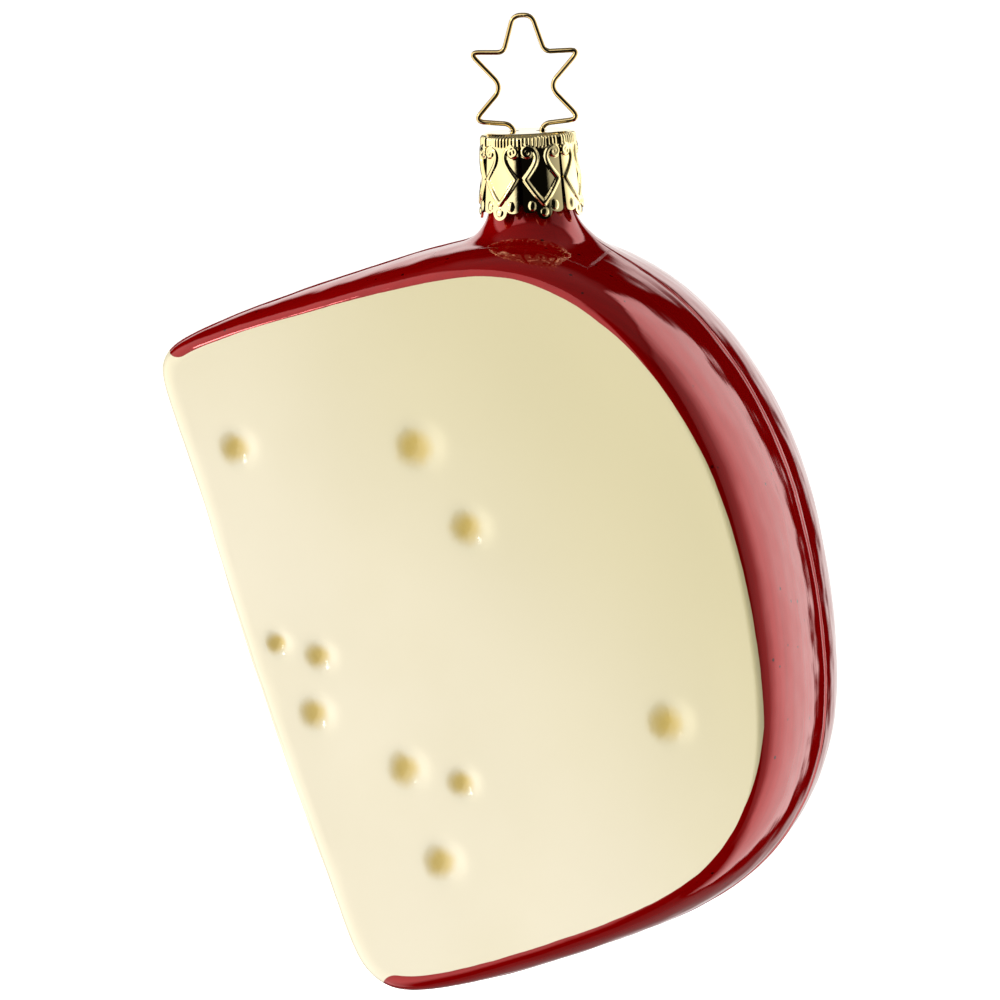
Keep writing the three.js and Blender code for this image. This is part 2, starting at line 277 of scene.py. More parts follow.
def place(s, t, y):
    """A point of the wedge from its own s and t: both axes turned by the edge's lean, and y kept."""
    cos, sin = math.cos(EDGE_LEAN), math.sin(EDGE_LEAN)
    x = EDGE_TOP[0] + s * cos + t * sin
    z = EDGE_TOP[1] + s * sin - t * cos
    return np.stack(np.broadcast_arrays(x, y, z), -1)


def half_thickness(s):
    """Half the distance between the cut faces: it grows with the half angle from the thin edge on."""
    return EDGE_HALF + math.tan(HALF_ANGLE) * (s - FACE_START)


class Outline:
    """The middle plane's outline: a closed uniform cubic B-spline, with evenly spaced columns along each
    of its four sides."""

    def __init__(self):
        steps = np.linspace(CORNER_STEPS[0], CORNER_STEPS[-1], 6801)
        points = self.spline(steps)
        lengths = np.append(0, np.cumsum(np.linalg.norm(np.diff(points, axis=0), axis=1)))
        corners = np.interp(CORNER_STEPS, steps, lengths)
        counts = (SIDE_COLUMNS, END_COLUMNS, SIDE_COLUMNS, END_COLUMNS)
        sides = [np.linspace(corners[k], corners[k + 1], counts[k], endpoint=False) for k in range(4)]
        self.column_lengths = np.append(np.concatenate(sides), corners[-1])
        self.column_steps = np.interp(self.column_lengths, lengths, steps)
        self.columns = sum(counts)
        self.length = corners[-1]

    @staticmethod
    def spline(steps, slope=False):
        """Four neighbouring control points weighted by the cubic B-spline's weights, or by their slopes."""
        first = np.floor(steps).astype(int)
        f = (steps - first)[..., None]
        if slope:
            weights = (-3 * (1 - f) ** 2, 9 * f ** 2 - 12 * f, -9 * f ** 2 + 6 * f + 3, 3 * f ** 2)
        else:
            rising = -3 * f ** 3 + 3 * f ** 2 + 3 * f + 1
            weights = ((1 - f) ** 3, 3 * f ** 3 - 6 * f ** 2 + 4, rising, f ** 3)
        cage = OUTLINE_CAGE
        return sum(weight / 6 * cage[(first + k - 1) % len(cage)] for k, weight in enumerate(weights))

    def at(self, columns):
        """Point, outward normal, length along and cage step at any column numbers, whole or not."""
        numbers = np.arange(self.columns + 1)
        steps = np.interp(columns, numbers, self.column_steps)
        tangent = self.spline(steps, slope=True)
        tangent /= np.linalg.norm(tangent, axis=-1, keepdims=True)
        outward = np.stack([-tangent[..., 1], tangent[..., 0]], -1)
        return self.spline(steps), outward, np.interp(columns, numbers, self.column_lengths), steps


OUTLINE = Outline()


def rind_turns():
    """The rows' places q on the rind's half ellipse, from -90 to 90 degrees: closer at the mould line
    in the middle, found by adding up a density and reading it backwards."""
    q = np.linspace(-math.pi / 2, math.pi / 2, 4001)
    density = 1 + 0.9 * np.cos(q) ** 2 + 7 * np.exp(-(q / 0.035) ** 2)
    total = np.append(0, np.cumsum((density[1:] + density[:-1]) / 2))
    half = np.interp(np.linspace(0, total[2000], RIND_ROWS // 2 + 1), total[:2001], q[:2001])
    return np.append(half, -half[-2::-1])


def rind_edge(columns):
    """Where the cut face ends on the middle plane: the outline moved inwards by the rind's bulge."""
    point, outward, _, _ = OUTLINE.at(columns)
    bulge = BULGE_AT_EDGE + BULGE_GROWTH * np.maximum(point[..., 0], 0)
    return point - outward * bulge[..., None], outward, bulge


def rind_relief(columns, q, y, glass):
    """Height of the rind over its smooth section: slow waves whose counts close round the outline,
    faint streaks along it, and the mould line, a narrow crest with a shallow groove at each side."""
    around = 2 * math.pi * OUTLINE.at(columns)[2] / OUTLINE.length
    waves = (
        0.50 * np.sin(11 * around + 1.1 * np.sin(3 * around) + 0.16 * y)
        + 0.35 * np.sin(23 * around - 0.31 * y + 0.8)
        + 0.30 * np.sin(7 * around + 0.52 * y + 1.9 * np.sin(5 * around))
        + 0.22 * np.sin(37 * around + 0.75 * y + 0.4)
        + 0.16 * np.sin(2.1 * y + 1.5 * np.sin(9 * around))
        + 0.10 * np.sin(61 * around + 1.6 * y + 2.0 * np.sin(5 * around))
        + 0.08 * np.sin(97 * around - 1.1 * y)
    )
    fade = np.cos(q) ** 0.5
    wander = 0.25 * np.sin(4 * around) + 0.12 * np.sin(13 * around + 1)
    off = (y - wander) / 0.2
    ridge = np.exp(-off ** 2) - 0.35 * np.exp(-(np.abs(off) - 2.1) ** 2)
    return fade * (glass.ripple / MM * waves + glass.mould_line / MM * ridge)


def flare_height(radius, depth):
    """Height of the trumpet at a distance from the neck's axis, read from its Bezier profile."""
    profile = flare_profile(np.linspace(0, 1, 60), depth)
    return np.interp(radius, profile[:, 0], profile[:, 1])


def flare_profile(share, depth):
    """Cubic Bezier curve of radius and height, from the tube to inside the rind, moved inwards by depth."""
    f = np.asarray(share, float)[..., None]
    a, b, c, d = FLARE
    point = (1 - f) ** 3 * a + 3 * f * (1 - f) ** 2 * b + 3 * f ** 2 * (1 - f) * c + f ** 3 * d
    slope = 3 * (1 - f) ** 2 * (b - a) + 6 * f * (1 - f) * (c - b) + 3 * f ** 2 * (d - c)
    slope /= np.linalg.norm(slope, axis=-1, keepdims=True)
    return point + depth * np.stack([slope[..., 1], -slope[..., 0]], -1)


def rind_points(columns, q, depth, glass):
    """Points of the rind: from the face's edge outwards by bulge times cos q, and across by half the
    thickness times sin q, where the thin edge takes only the middle part of that half ellipse; then the
    relief along the section's normal, and near the neck the higher of rind and trumpet."""
    edge, outward, bulge = rind_edge(columns)
    half = half_thickness(edge[..., 0]) - depth / math.cos(HALF_ANGLE)
    share = np.clip((EDGE_BLEND - edge[..., 0]) / (EDGE_BLEND - FACE_START), 0, 1)
    end = math.pi / 2 - EDGE_TURN_SAVED * share ** 2 * (3 - 2 * share)
    turn = q * end / (math.pi / 2)
    reach = (bulge - depth) * (np.cos(turn) - np.cos(end)) / (1 - np.cos(end))
    y = half * np.sin(turn) / np.sin(end)
    if depth == 0:
        relief = rind_relief(columns, q, y, glass)
        normal = np.stack([np.cos(turn) * half, np.sin(turn) * bulge], -1)
        normal /= np.linalg.norm(normal, axis=-1, keepdims=True)
        reach = reach + relief * normal[..., 0]
        y = y + relief * normal[..., 1]
    flat = edge + outward * reach[..., None]
    points = place(flat[..., 0], flat[..., 1], y)
    radius = np.hypot(points[..., 0], points[..., 1])
    near = (radius < FLARE[-1, 0]) & (points[..., 2] > FLARE[-1, 1])
    lifted = smooth_max(points[..., 2], flare_height(radius, depth), FLARE_BLEND)
    points[..., 2] = np.where(near, lifted, points[..., 2])
    return points


def collar_places(corner_columns, corner_turns, xy, depth, glass):
    """The places (column, q) on the rind that lie over given points of the XY plane, by Newton steps."""
    column = np.full(len(xy), np.mean(corner_columns))
    q = np.zeros(len(xy))
    nudge = 0.01
    for _ in range(12):
        here = rind_points(column, q, depth, glass)[:, :2]
        by_column = (rind_points(column + nudge, q, depth, glass)[:, :2] - here) / nudge
        by_q = (rind_points(column, q + nudge, depth, glass)[:, :2] - here) / nudge
        miss = xy - here
        area = by_column[:, 0] * by_q[:, 1] - by_column[:, 1] * by_q[:, 0]
        column = column + (miss[:, 0] * by_q[:, 1] - miss[:, 1] * by_q[:, 0]) / area
        q = q + (by_column[:, 0] * miss[:, 1] - by_column[:, 1] * miss[:, 0]) / area
        q = np.clip(q, *corner_turns)
        column = np.clip(column, *corner_columns)
    return column, q


def dimple_press(s, t, dimples):
    """How far each point of a cut face is pressed in, as a share of the full depth: the square of a
    parabola over each dimple, so that its rim is soft."""
    press = np.zeros_like(s)
    for centre_s, centre_t, radius in dimples:
        reach = ((s - centre_s) ** 2 + (t - centre_t) ** 2) / (DIMPLE_RIM * radius) ** 2
        press = np.maximum(press, np.clip(1 - reach, 0, 1) ** 2)
    return press


def face_points(edge, side, depth, glass):
    """A cut face as a Coons patch: the mean of two ruled surfaces between opposite sides, less the
    corners' bilinear patch. Its grid is drawn together in the dimples, which are pressed in along the
    face's normal, and the rest waves a little."""
    step = SIDE_COLUMNS * len(edge) // OUTLINE.columns
    other = len(edge) // 2 - step
    ring = np.concatenate([edge, edge[:1]])
    left = ring[:step + 1][:, None]
    foot = ring[step:step + other + 1][None]
    right = ring[step + other:2 * step + other + 1][::-1][:, None]
    top = ring[2 * step + other:][::-1][None]
    v = np.linspace(0, 1, step + 1)[:, None, None]
    u = np.linspace(0, 1, other + 1)[None, :, None]
    top_corners = (1 - u) * top[:, :1] + u * top[:, -1:]
    foot_corners = (1 - u) * foot[:, :1] + u * foot[:, -1:]
    corners = (1 - v) * top_corners + v * foot_corners
    patch = (1 - u) * left + u * right + (1 - v) * top + v * foot - corners
    inner = (np.minimum(v, 1 - v) * np.minimum(u, 1 - u))[..., 0] > 0
    dimples = FRONT_DIMPLES if side < 0 else BACK_DIMPLES
    for centre_s, centre_t, radius in dimples:
        to_centre = np.array([centre_s, centre_t]) - patch
        nearness = np.exp(-(to_centre ** 2).sum(-1) / (2 * (DIMPLE_PULL_REACH * radius) ** 2))
        patch = patch + (DIMPLE_PULL * nearness * inner)[..., None] * to_centre
    s, t = patch[..., 0], patch[..., 1]
    press = glass.dimple_depth / MM * dimple_press(s, t, dimples)
    if depth == 0:
        from_rim = np.clip(32 * np.minimum(v, 1 - v) * np.minimum(u, 1 - u), 0, 1)[..., 0]
        waves = np.sin(0.21 * s + 0.13 * t) + np.sin(0.17 * t - 0.24 * s + side)
        press = press + from_rim * glass.ripple / MM * FACE_RIPPLE * waves
    half = half_thickness(s) - depth / math.cos(HALF_ANGLE) - press * math.cos(HALF_ANGLE)
    return place(s + press * math.sin(HALF_ANGLE), t, side * half), patch


def hole_loop(numbers, rows, columns):
    """The grid's numbers round a rectangular hole, in order: front, left, back, right."""
    (low, high), (first, last) = rows, columns
    return np.concatenate([
        numbers[low, first:last], numbers[low:high, last],
        numbers[high, last:first:-1], numbers[high:low:-1, first],
    ])


def neck_hole(glass):
    """First and last row, and first and last column, of the hole that the collar fills: whole steps of
    the coarse grid, a little wider than the collar."""
    columns = np.arange(OUTLINE.columns).astype(float)
    crest = rind_points(columns, np.zeros(len(columns)), 0, glass)
    on_top = (np.abs(crest[:, 0]) < HOLE_SPREAD * COLLAR_RADIUS) & (crest[:, 2] > FLARE[-1, 1])
    first, last = np.flatnonzero(on_top)[[0, -1]]
    low = np.searchsorted(rind_turns(), -HOLE_TURN)
    corners = np.array([[low, RIND_ROWS - low], [first, last + COARSE]])
    corners = corners // COARSE * COARSE
    corners[0, 1] = RIND_ROWS - corners[0, 0]
    return corners


def note_paint(layers, shape, border, place_on, run):
    """Writes down the paint's values at points just added. A single number stands for all of them."""
    layers["border"].append(np.broadcast_to(border, shape).ravel())
    for name, parts in (("place", place_on), ("run", run)):
        layers[name].append(np.stack([np.broadcast_to(part, shape) for part in parts], -1).reshape(-1, 3))


def add_cut_face(skin, side, rim, paint_at, depth, glass, layers):
    """One cut face: its inner points are new, and its rim is the rind's first or last row. paint_at holds
    the outline's points, the painted border's drift and the length along, at each column."""
    edge, drift, along = paint_at
    face, patch = face_points(edge, side, depth, glass)
    numbers = np.empty(face.shape[:2], int)
    numbers[1:-1, 1:-1] = skin.add(face[1:-1, 1:-1])
    step, other = face.shape[0] - 1, face.shape[1] - 1
    ring = np.append(rim, rim[0])
    numbers[:, 0] = ring[:step + 1]
    numbers[-1] = ring[step:step + other + 1]
    numbers[:, -1] = ring[step + other:2 * step + other + 1][::-1]
    numbers[0] = ring[2 * step + other:][::-1]
    skin.weave(numbers, flip=(depth > 0) != (side > 0))
    flat = patch[1:-1, 1:-1].reshape(-1, 2)
    gaps = np.linalg.norm(flat[:, None] - edge[None], axis=2)
    nearest = gaps.argmin(axis=1)
    note_paint(layers, len(flat), -gaps.min(axis=1) - drift[nearest], (*flat.T, side * SIDE_GAP),
               (along[nearest], side * STREAK_GAP, 0.0))


def neck_profile(start, depth, fine):
    """Radius and height of each ring above the collar: up the trumpet, up the tube and, outside, over a
    quarter circle for the lip."""
    trumpet = flare_profile(start * (1 - np.linspace(0, 1, FLARE_RINGS // fine + 1)), depth)[1:]
    top = NECK_TOP - NECK_LIP
    tube = np.linspace(FLARE[0, 1], top, TUBE_RINGS // fine + 1)[1:]
    parts = [trumpet, np.column_stack([np.full(len(tube), NECK_RADIUS - depth), tube])]
    if depth == 0:
        turns = np.linspace(0, math.pi / 2, LIP_RINGS + 1)[1:]
        lip_radius = NECK_RADIUS - NECK_LIP + NECK_LIP * np.cos(turns)
        parts.append(np.column_stack([lip_radius, top + NECK_LIP * np.sin(turns)]))
    return np.vstack(parts)


def add_neck(skin, grid, hole, depth, fine, glass, layers):
    """The collar and neck in the rind's hole: rings that pass from the hole's rim to the collar's circle,
    then the neck's own rings, which take on the collar's shape near their foot. grid holds the rind's
    numbers, columns and turns. Gives back the top ring."""
    loop, loop_column, loop_q = (hole_loop(part, *hole) for part in grid)
    at_loop = rind_points(loop_column, loop_q, depth, glass)
    angle = np.unwrap(np.arctan2(at_loop[:, 1], at_loop[:, 0]))
    even = angle[0] - 2 * math.pi * np.arange(len(loop)) / len(loop)
    angle = (angle + even + (angle - even).mean()) / 2
    around = np.stack([np.cos(angle), np.sin(angle)], -1)
    radius = COLLAR_RADIUS - depth
    limits = (grid[1][0, hole[1]], grid[2][hole[0], 0])
    column, q = collar_places(*limits, radius * around, depth, glass)
    share = np.linspace(0, 1, COLLAR_RINGS // fine + 1)[1:, None]
    collar_columns = loop_column + share * (column - loop_column)
    collar = rind_points(collar_columns, loop_q + share * (q - loop_q), depth, glass)

    shares = np.linspace(0, 1, PROFILE_STEPS)
    start = np.interp(radius, flare_profile(shares, depth)[:, 0], shares)
    foot = flare_profile(start, depth)
    profile = neck_profile(start, depth, fine)
    fade = np.clip(1 - (profile[:, 1] - foot[1]) / (FLARE[0, 1] - foot[1]), 0, 1)[:, None, None] ** 2
    neck = circles(profile, around) + fade * (collar[-1] - circles(foot[None], around))
    added = np.concatenate([collar, neck])
    numbers = np.vstack([loop, skin.add(added)])
    skin.weave(numbers, around=True, flip=depth > 0)
    note_paint(layers, added.shape[:2], NECK_BORDER, (NECK_PLACE, 0.0, 0.0), (angle * 5, added[..., 2], 2.0))
    return numbers[-1]


def add_glass_skin(skin, depth, fine, glass, layers):
    """One side of the glass: rind, two cut faces, and the collar and neck that fill a hole left in the
    rind's grid. fine is the step between the grid lines taken. Gives back the neck's top ring."""
    columns = np.arange(0, OUTLINE.columns, fine).astype(float)
    grid_q, grid_column = np.meshgrid(rind_turns()[::fine], columns, indexing="ij")
    rind = rind_points(grid_column, grid_q, depth, glass)
    numbers = skin.add(rind)
    point, _, along, steps = OUTLINE.at(columns)
    lengths = np.linalg.norm(np.diff(rind, axis=0), axis=2)
    from_front = np.vstack([np.zeros(len(columns)), np.cumsum(lengths, axis=0)])
    paint = np.minimum(from_front, from_front[-1] - from_front)
    drift = np.interp(steps, BORDER_DRIFT[:, 0], BORDER_DRIFT[:, 1])
    note_paint(layers, paint.shape, paint - drift, (*point.T, 0.0), (along, rind[..., 1], 1.0))

    paint_at = (rind_edge(columns)[0], drift, along)
    for side, row in ((-1, 0), (1, -1)):
        add_cut_face(skin, side, numbers[row], paint_at, depth, glass, layers)

    hole = neck_hole(glass) // fine
    (low, high), (first, last) = hole
    keep = np.ones((len(rind) - 1, len(columns)), bool)
    keep[low:high, first:last] = False
    skin.weave(numbers, around=True, keep=keep, flip=depth > 0)
    return add_neck(skin, (numbers, grid_column, grid_q), hole, depth, fine, glass, layers)


def build_glass(glass):
    """The whole shell: outer skin, inner skin one wall deeper, and a fan of faces between their neck
    rings."""
    skin = Skin()
    layers = {"border": [], "place": [], "run": []}
    outer = add_glass_skin(skin, 0, 1, glass, layers)
    inner = add_glass_skin(skin, WALL, COARSE, glass, layers)
    skin.bridge(outer, inner)
    layers = {name: np.concatenate(parts) for name, parts in layers.items()}
    past_edge = layers["place"][:, 0] - RED_STARTS
    layers["border"] = -smooth_max(-layers["border"], -past_edge, RED_ROUNDING)
    return skin.piece("glass_wedge", layers)


# ---------------------------------------------------------------- the cap

def path_distance(x, z, path):
    """Distance from each point of a sheet to a line of close points."""
    gaps = (x[..., None] - path[:, 0]) ** 2 + (z[..., None] - path[:, 1]) ** 2
    return np.sqrt(gaps.min(axis=-1))


def smooth_path(knots, samples):
    """A Catmull-Rom curve through the knots: each span is a cubic whose end slopes are half the gap
    between the neighbours."""
    knots = np.asarray(knots, float)
    ends = np.vstack([2 * knots[0] - knots[1], knots, 2 * knots[-1] - knots[-2]])
    place_on = np.linspace(0, len(knots) - 1, samples)
    first = np.minimum(place_on.astype(int), len(knots) - 2)
    f = (place_on - first)[:, None]
    a, b, c, d = (ends[first + k] for k in range(4))
    curved = (2 * a - 5 * b + 4 * c - d) * f ** 2 + (3 * b - a - 3 * c + d) * f ** 3
    return 0.5 * (2 * b + (c - a) * f + curved)


def scroll_path():
    """The left half of a petal's drawing: a curl that winds out and runs into an S-shaped strand, whose
    foot turns at the lozenge's side corner down to its lowest point."""
    share = np.linspace(0, 1, 60)
    turn = math.pi / 2 + 2 * math.pi * CURL_TURNS * (1 - share)
    radius = CURL_RADII[0] + (CURL_RADII[1] - CURL_RADII[0]) * share
    curl = np.array(CURL_MIDDLE) + np.stack([radius * np.cos(turn), radius * np.sin(turn)], -1)
    strand = smooth_path([curl[-1], *SCROLL_KNOTS], 70)
    foot = smooth_path([SCROLL_KNOTS[-1], *LOZENGE_KNOTS], 50)
    return np.vstack([curl, strand, foot])


def petal_relief(x, z, height):
    """Height of a petal's stamping: two mirrored scrolls and strands with a round-topped section, a bead in
    each curl, and three beads over the scalloped foot."""
    side = np.abs(x)
    gap = path_distance(-side, z, scroll_path())
    strand = np.clip(1 - (gap / STRAND_HALF) ** 2, 0, 1) ** 0.7
    beads = np.zeros_like(x)
    for bead_x, bead_z, half_x, half_z in PETAL_BEADS:
        reach = ((side - bead_x) / half_x) ** 2 + ((z - bead_z) / half_z) ** 2
        beads = np.maximum(beads, np.sqrt(np.clip(1 - reach, 0, 1)))
    return height * np.maximum(strand, BEAD_SHARE * beads)


def petal_foot(across):
    """The scalloped foot's height over a petal: half an ellipse for each of its three lobes."""
    side = np.abs(across)
    side_middle = (1 + MIDDLE_LOBE_HALF) / 2
    in_middle = side < MIDDLE_LOBE_HALF
    offset = np.where(in_middle, side / MIDDLE_LOBE_HALF, (side - side_middle) / (1 - side_middle))
    depth = np.where(in_middle, MIDDLE_LOBE_DEPTH, SIDE_LOBE_DEPTH)
    return SIDE_LOBE_CUSP - depth * np.sqrt(np.clip(1 - offset ** 2, 0, 1))


def cap_sheet(cap, inwards):
    """One side of the stamped sheet as a grid: rows run out over the flat top, round the shoulder and down
    the petals, and columns run round the axis, where the gap between two petals is one step wide. Gives
    the points, the height of the stamping at each, and which faces are the slits."""
    across = np.tile(np.linspace(-1, 1, PETAL_COLUMNS), PETAL_COUNT)
    petal = np.repeat(np.arange(PETAL_COUNT), PETAL_COLUMNS)
    flare = cap.petal_flare / MM + PETAL_FLARE_CHANGE * np.sin(PETAL_CHANGE_TURN * petal)
    half_turn = math.pi / PETAL_COUNT

    corner_radius, corner_height = CAP_RADIUS - CAP_SHOULDER, CAP_TOP - CAP_SHOULDER
    shoulder = np.linspace(0, math.pi / 2, SHOULDER_ROWS + 1)[1:]
    flat_radius = np.linspace(0, corner_radius, TOP_ROWS + 1)[1:]
    curve = CAP_SHOULDER - inwards
    top_radius = np.append(flat_radius, corner_radius + curve * np.sin(shoulder))
    top_height = np.append(np.full(TOP_ROWS, CAP_TOP - inwards), corner_height + curve * np.cos(shoulder))

    down = np.linspace(0, 1, PETAL_ROWS + 1)[1:, None]
    height = corner_height + down * (petal_foot(across) - corner_height)
    lean = np.clip(corner_height - height, 0, None) / (corner_height - SIDE_LOBE_CUSP)
    slit = SLIT_WIDTH_TOP + (SLIT_WIDTH_FOOT - SLIT_WIDTH_TOP) * lean
    radius = CAP_RADIUS - inwards + flare * lean ** 1.3
    gap_turn = np.vstack([np.full((len(top_radius), len(across)), SLIT_WIDTH_TOP / 2 / CAP_RADIUS),
                          slit / 2 / (radius + inwards)])
    radius = np.vstack([np.repeat(top_radius[:, None], len(across), 1), radius])
    height = np.vstack([np.repeat(top_height[:, None], len(across), 1), height])
    middle = PETAL_TURN + 2 * half_turn * petal
    turn = middle + across * (half_turn - gap_turn)

    rib = np.abs(np.sin(turn * RIBS_ROUND / 2)) ** 0.8
    row_place = np.arange(len(radius))[:, None] - TOP_ROWS - RIB_ROWS[0]
    in_ribs = np.clip(np.minimum(row_place, RIB_ROWS[1] - row_place) / 2, 0, 1)
    stamped = cap.rib_height / MM * rib * in_ribs
    x = (turn - middle) * CAP_RADIUS
    drawn = petal_relief(x, height, cap.stamp_height / MM) * np.clip((corner_height - height) / 0.2, 0, 1)
    stamped = np.maximum(stamped, drawn)
    on_shoulder = np.clip((radius - corner_radius) / curve, 0, 1)
    out = radius + stamped * on_shoulder
    rise = stamped * np.sqrt(1 - on_shoulder ** 2) * (np.arange(len(radius))[:, None] >= TOP_ROWS)
    points = np.stack([out * np.sin(turn), -out * np.cos(turn), height + rise], -1)
    slits = np.zeros((len(radius) - 1, len(across)), bool)
    slits[TOP_ROWS + SHOULDER_ROWS - 3:, PETAL_COLUMNS - 1::PETAL_COLUMNS] = True
    return points, stamped, slits


def hole_patch(skin, numbers, points, rows, columns, middle, flip):
    """Fills a rectangular hole in the cap's top round a smaller round one: rings between the two, each
    point going straight from the one to the other. Gives back the round hole's rim."""
    loop = hole_loop(numbers, rows, columns)
    from_loop = hole_loop(points, rows, columns)
    flat = from_loop[:, :2] - middle
    radius = np.linalg.norm(flat, axis=1, keepdims=True)
    share = np.linspace(0, 1, HOLE_RINGS + 1)[1:, None, None]
    rings = np.repeat(from_loop[None], HOLE_RINGS, axis=0)
    rings[..., :2] = middle + flat * (1 - share + share * WIRE_HOLE_RADIUS / radius)
    ring_numbers = skin.add(rings)
    skin.weave(np.vstack([loop, ring_numbers]), around=True, flip=flip)
    return ring_numbers[-1]


def add_cap_side(skin, points, slits, inside):
    """One side of the cap's sheet: its grid without the slits, two round holes in its top, and a fan of
    faces round its pole. Gives back the grid's numbers and the holes' rims."""
    numbers = skin.add(points)
    keep = ~slits
    turns = np.arctan2(points[0, :, 0], -points[0, :, 1])
    rows = np.searchsorted(np.hypot(points[:TOP_ROWS, 0, 0], points[:TOP_ROWS, 0, 1]), HOLE_ROW_RADII)
    rims = []
    for middle in (-LEG_X, LEG_X):
        away = np.abs(np.angle(np.exp(1j * (turns - math.copysign(math.pi / 2, middle)))))
        columns = np.flatnonzero(away < HOLE_HALF_TURN)[[0, -1]]
        keep[rows[0]:rows[1], columns[0]:columns[1]] = False
        rims.append(hole_patch(skin, numbers, points, rows, columns, (middle, 0.0), flip=inside))
    skin.weave(numbers, around=True, keep=keep, flip=inside)
    pole = skin.add(np.array([0.0, 0.0, points[0, 0, 2]]))
    skin.fan(pole, numbers[0], flip=inside)
    return numbers, rims


def build_cap(cap):
    """The stamped cap: an outer and an inner side of the same sheet, joined by walls along the slits and
    the foot, and through the two holes for the wire."""
    skin = Skin()
    sides = []
    heights = []
    for inwards in (0, CAP_SHEET):
        points, stamped, slits = cap_sheet(cap, inwards)
        sides.append(add_cap_side(skin, points, slits, inside=inwards > 0))
        heights.append(stamped)
    (outer, outer_rims), (inner, inner_rims) = sides

    def wall(start, end):
        """Faces through the sheet over edges of its grid, each from its start to its end."""
        skin.put(np.stack([outer[start], outer[end], inner[end], inner[start]], -1))

    present = ~slits
    beside = np.roll(present, 1, axis=1)
    row, column = np.nonzero(beside & ~present)
    wall((row, column), (row + 1, column))
    row, column = np.nonzero(present & ~beside)
    wall((row + 1, column), (row, column))
    below = np.vstack([present[1:], np.zeros(present.shape[1], bool)])
    row, column = np.nonzero(present & ~below)
    wall((row + 1, (column + 1) % present.shape[1]), (row + 1, column))
    for rims in zip(outer_rims, inner_rims):
        skin.weave(np.stack(rims), around=True)

    stamped = np.zeros(skin.count)
    stamped[outer], stamped[inner] = heights
    return skin.piece("stamped_cap", {"stamped": stamped}, sharp=SHARP_BEND)


# ---------------------------------------------------------------- the hanger

def star_path():
    """The wire's middle line in the XZ plane: straight runs, and at each corner a quadratic bend between
    points set back from it by the bend's radius; then points at even steps along it."""
    right = np.array(STAR_HALF, float)
    corners = np.vstack([right[:0:-1] * [-1, 1, 1], right])
    line = [corners[0, :2]]
    share = np.linspace(0, 1, BEND_STEPS)[:, None]
    for before, corner, after in zip(corners[:-2], corners[1:-1], corners[2:]):
        middle = corner[:2]
        arrive = middle + (before[:2] - middle) * corner[2] / np.linalg.norm(before[:2] - middle)
        leave = middle + (after[:2] - middle) * corner[2] / np.linalg.norm(after[:2] - middle)
        line += list((1 - share) ** 2 * arrive + 2 * share * (1 - share) * middle + share ** 2 * leave)
    line = np.array([*line, corners[-1, :2]])
    lengths = np.append(0, np.cumsum(np.linalg.norm(np.diff(line, axis=0), axis=1)))
    even = np.linspace(0, lengths[-1], WIRE_STEPS)
    return np.stack([np.interp(even, lengths, line[:, k]) for k in (0, 1)], -1), even


def build_hanger(hanger):
    """A round wire carried along the star: at each step a circle across the path, which shrinks over a
    quarter circle at both ends to close them, and leans a little off the plane as hand-bent wire does."""
    path, along = star_path()
    radius = hanger.wire_radius / MM
    slope = np.gradient(path, axis=0)
    slope /= np.linalg.norm(slope, axis=1, keepdims=True)
    across = np.stack([-slope[:, 1], slope[:, 0]], -1)
    from_end = np.minimum(along, along[-1] - along)
    width = radius * np.sqrt(np.clip(1 - np.clip(1 - from_end / radius, 0, 1) ** 2, 0, 1))
    width[[0, -1]] = radius * WIRE_TIP
    turns = np.linspace(0, 2 * math.pi, WIRE_SIDES, endpoint=False)
    free = np.clip((path[:, 1] - CAP_TOP) / 3, 0, 1)
    sway = WIRE_SWAY * free * np.sin(2 * math.pi * WIRE_SWAY_WAVES * along / along[-1] + 0.7)
    in_plane = width[:, None] * np.cos(turns)
    x = path[:, None, 0] + in_plane * across[:, None, 0]
    z = path[:, None, 1] + in_plane * across[:, None, 1]
    y = sway[:, None] + width[:, None] * np.sin(turns)
    skin = Skin()
    numbers = skin.add(np.stack([x, y, z], -1))
    skin.weave(numbers, around=True)
    skin.put(numbers[:1])
    skin.put(numbers[-1:], flip=True)
    return skin.piece("star_hanger")


# ---------------------------------------------------------------- shader maths

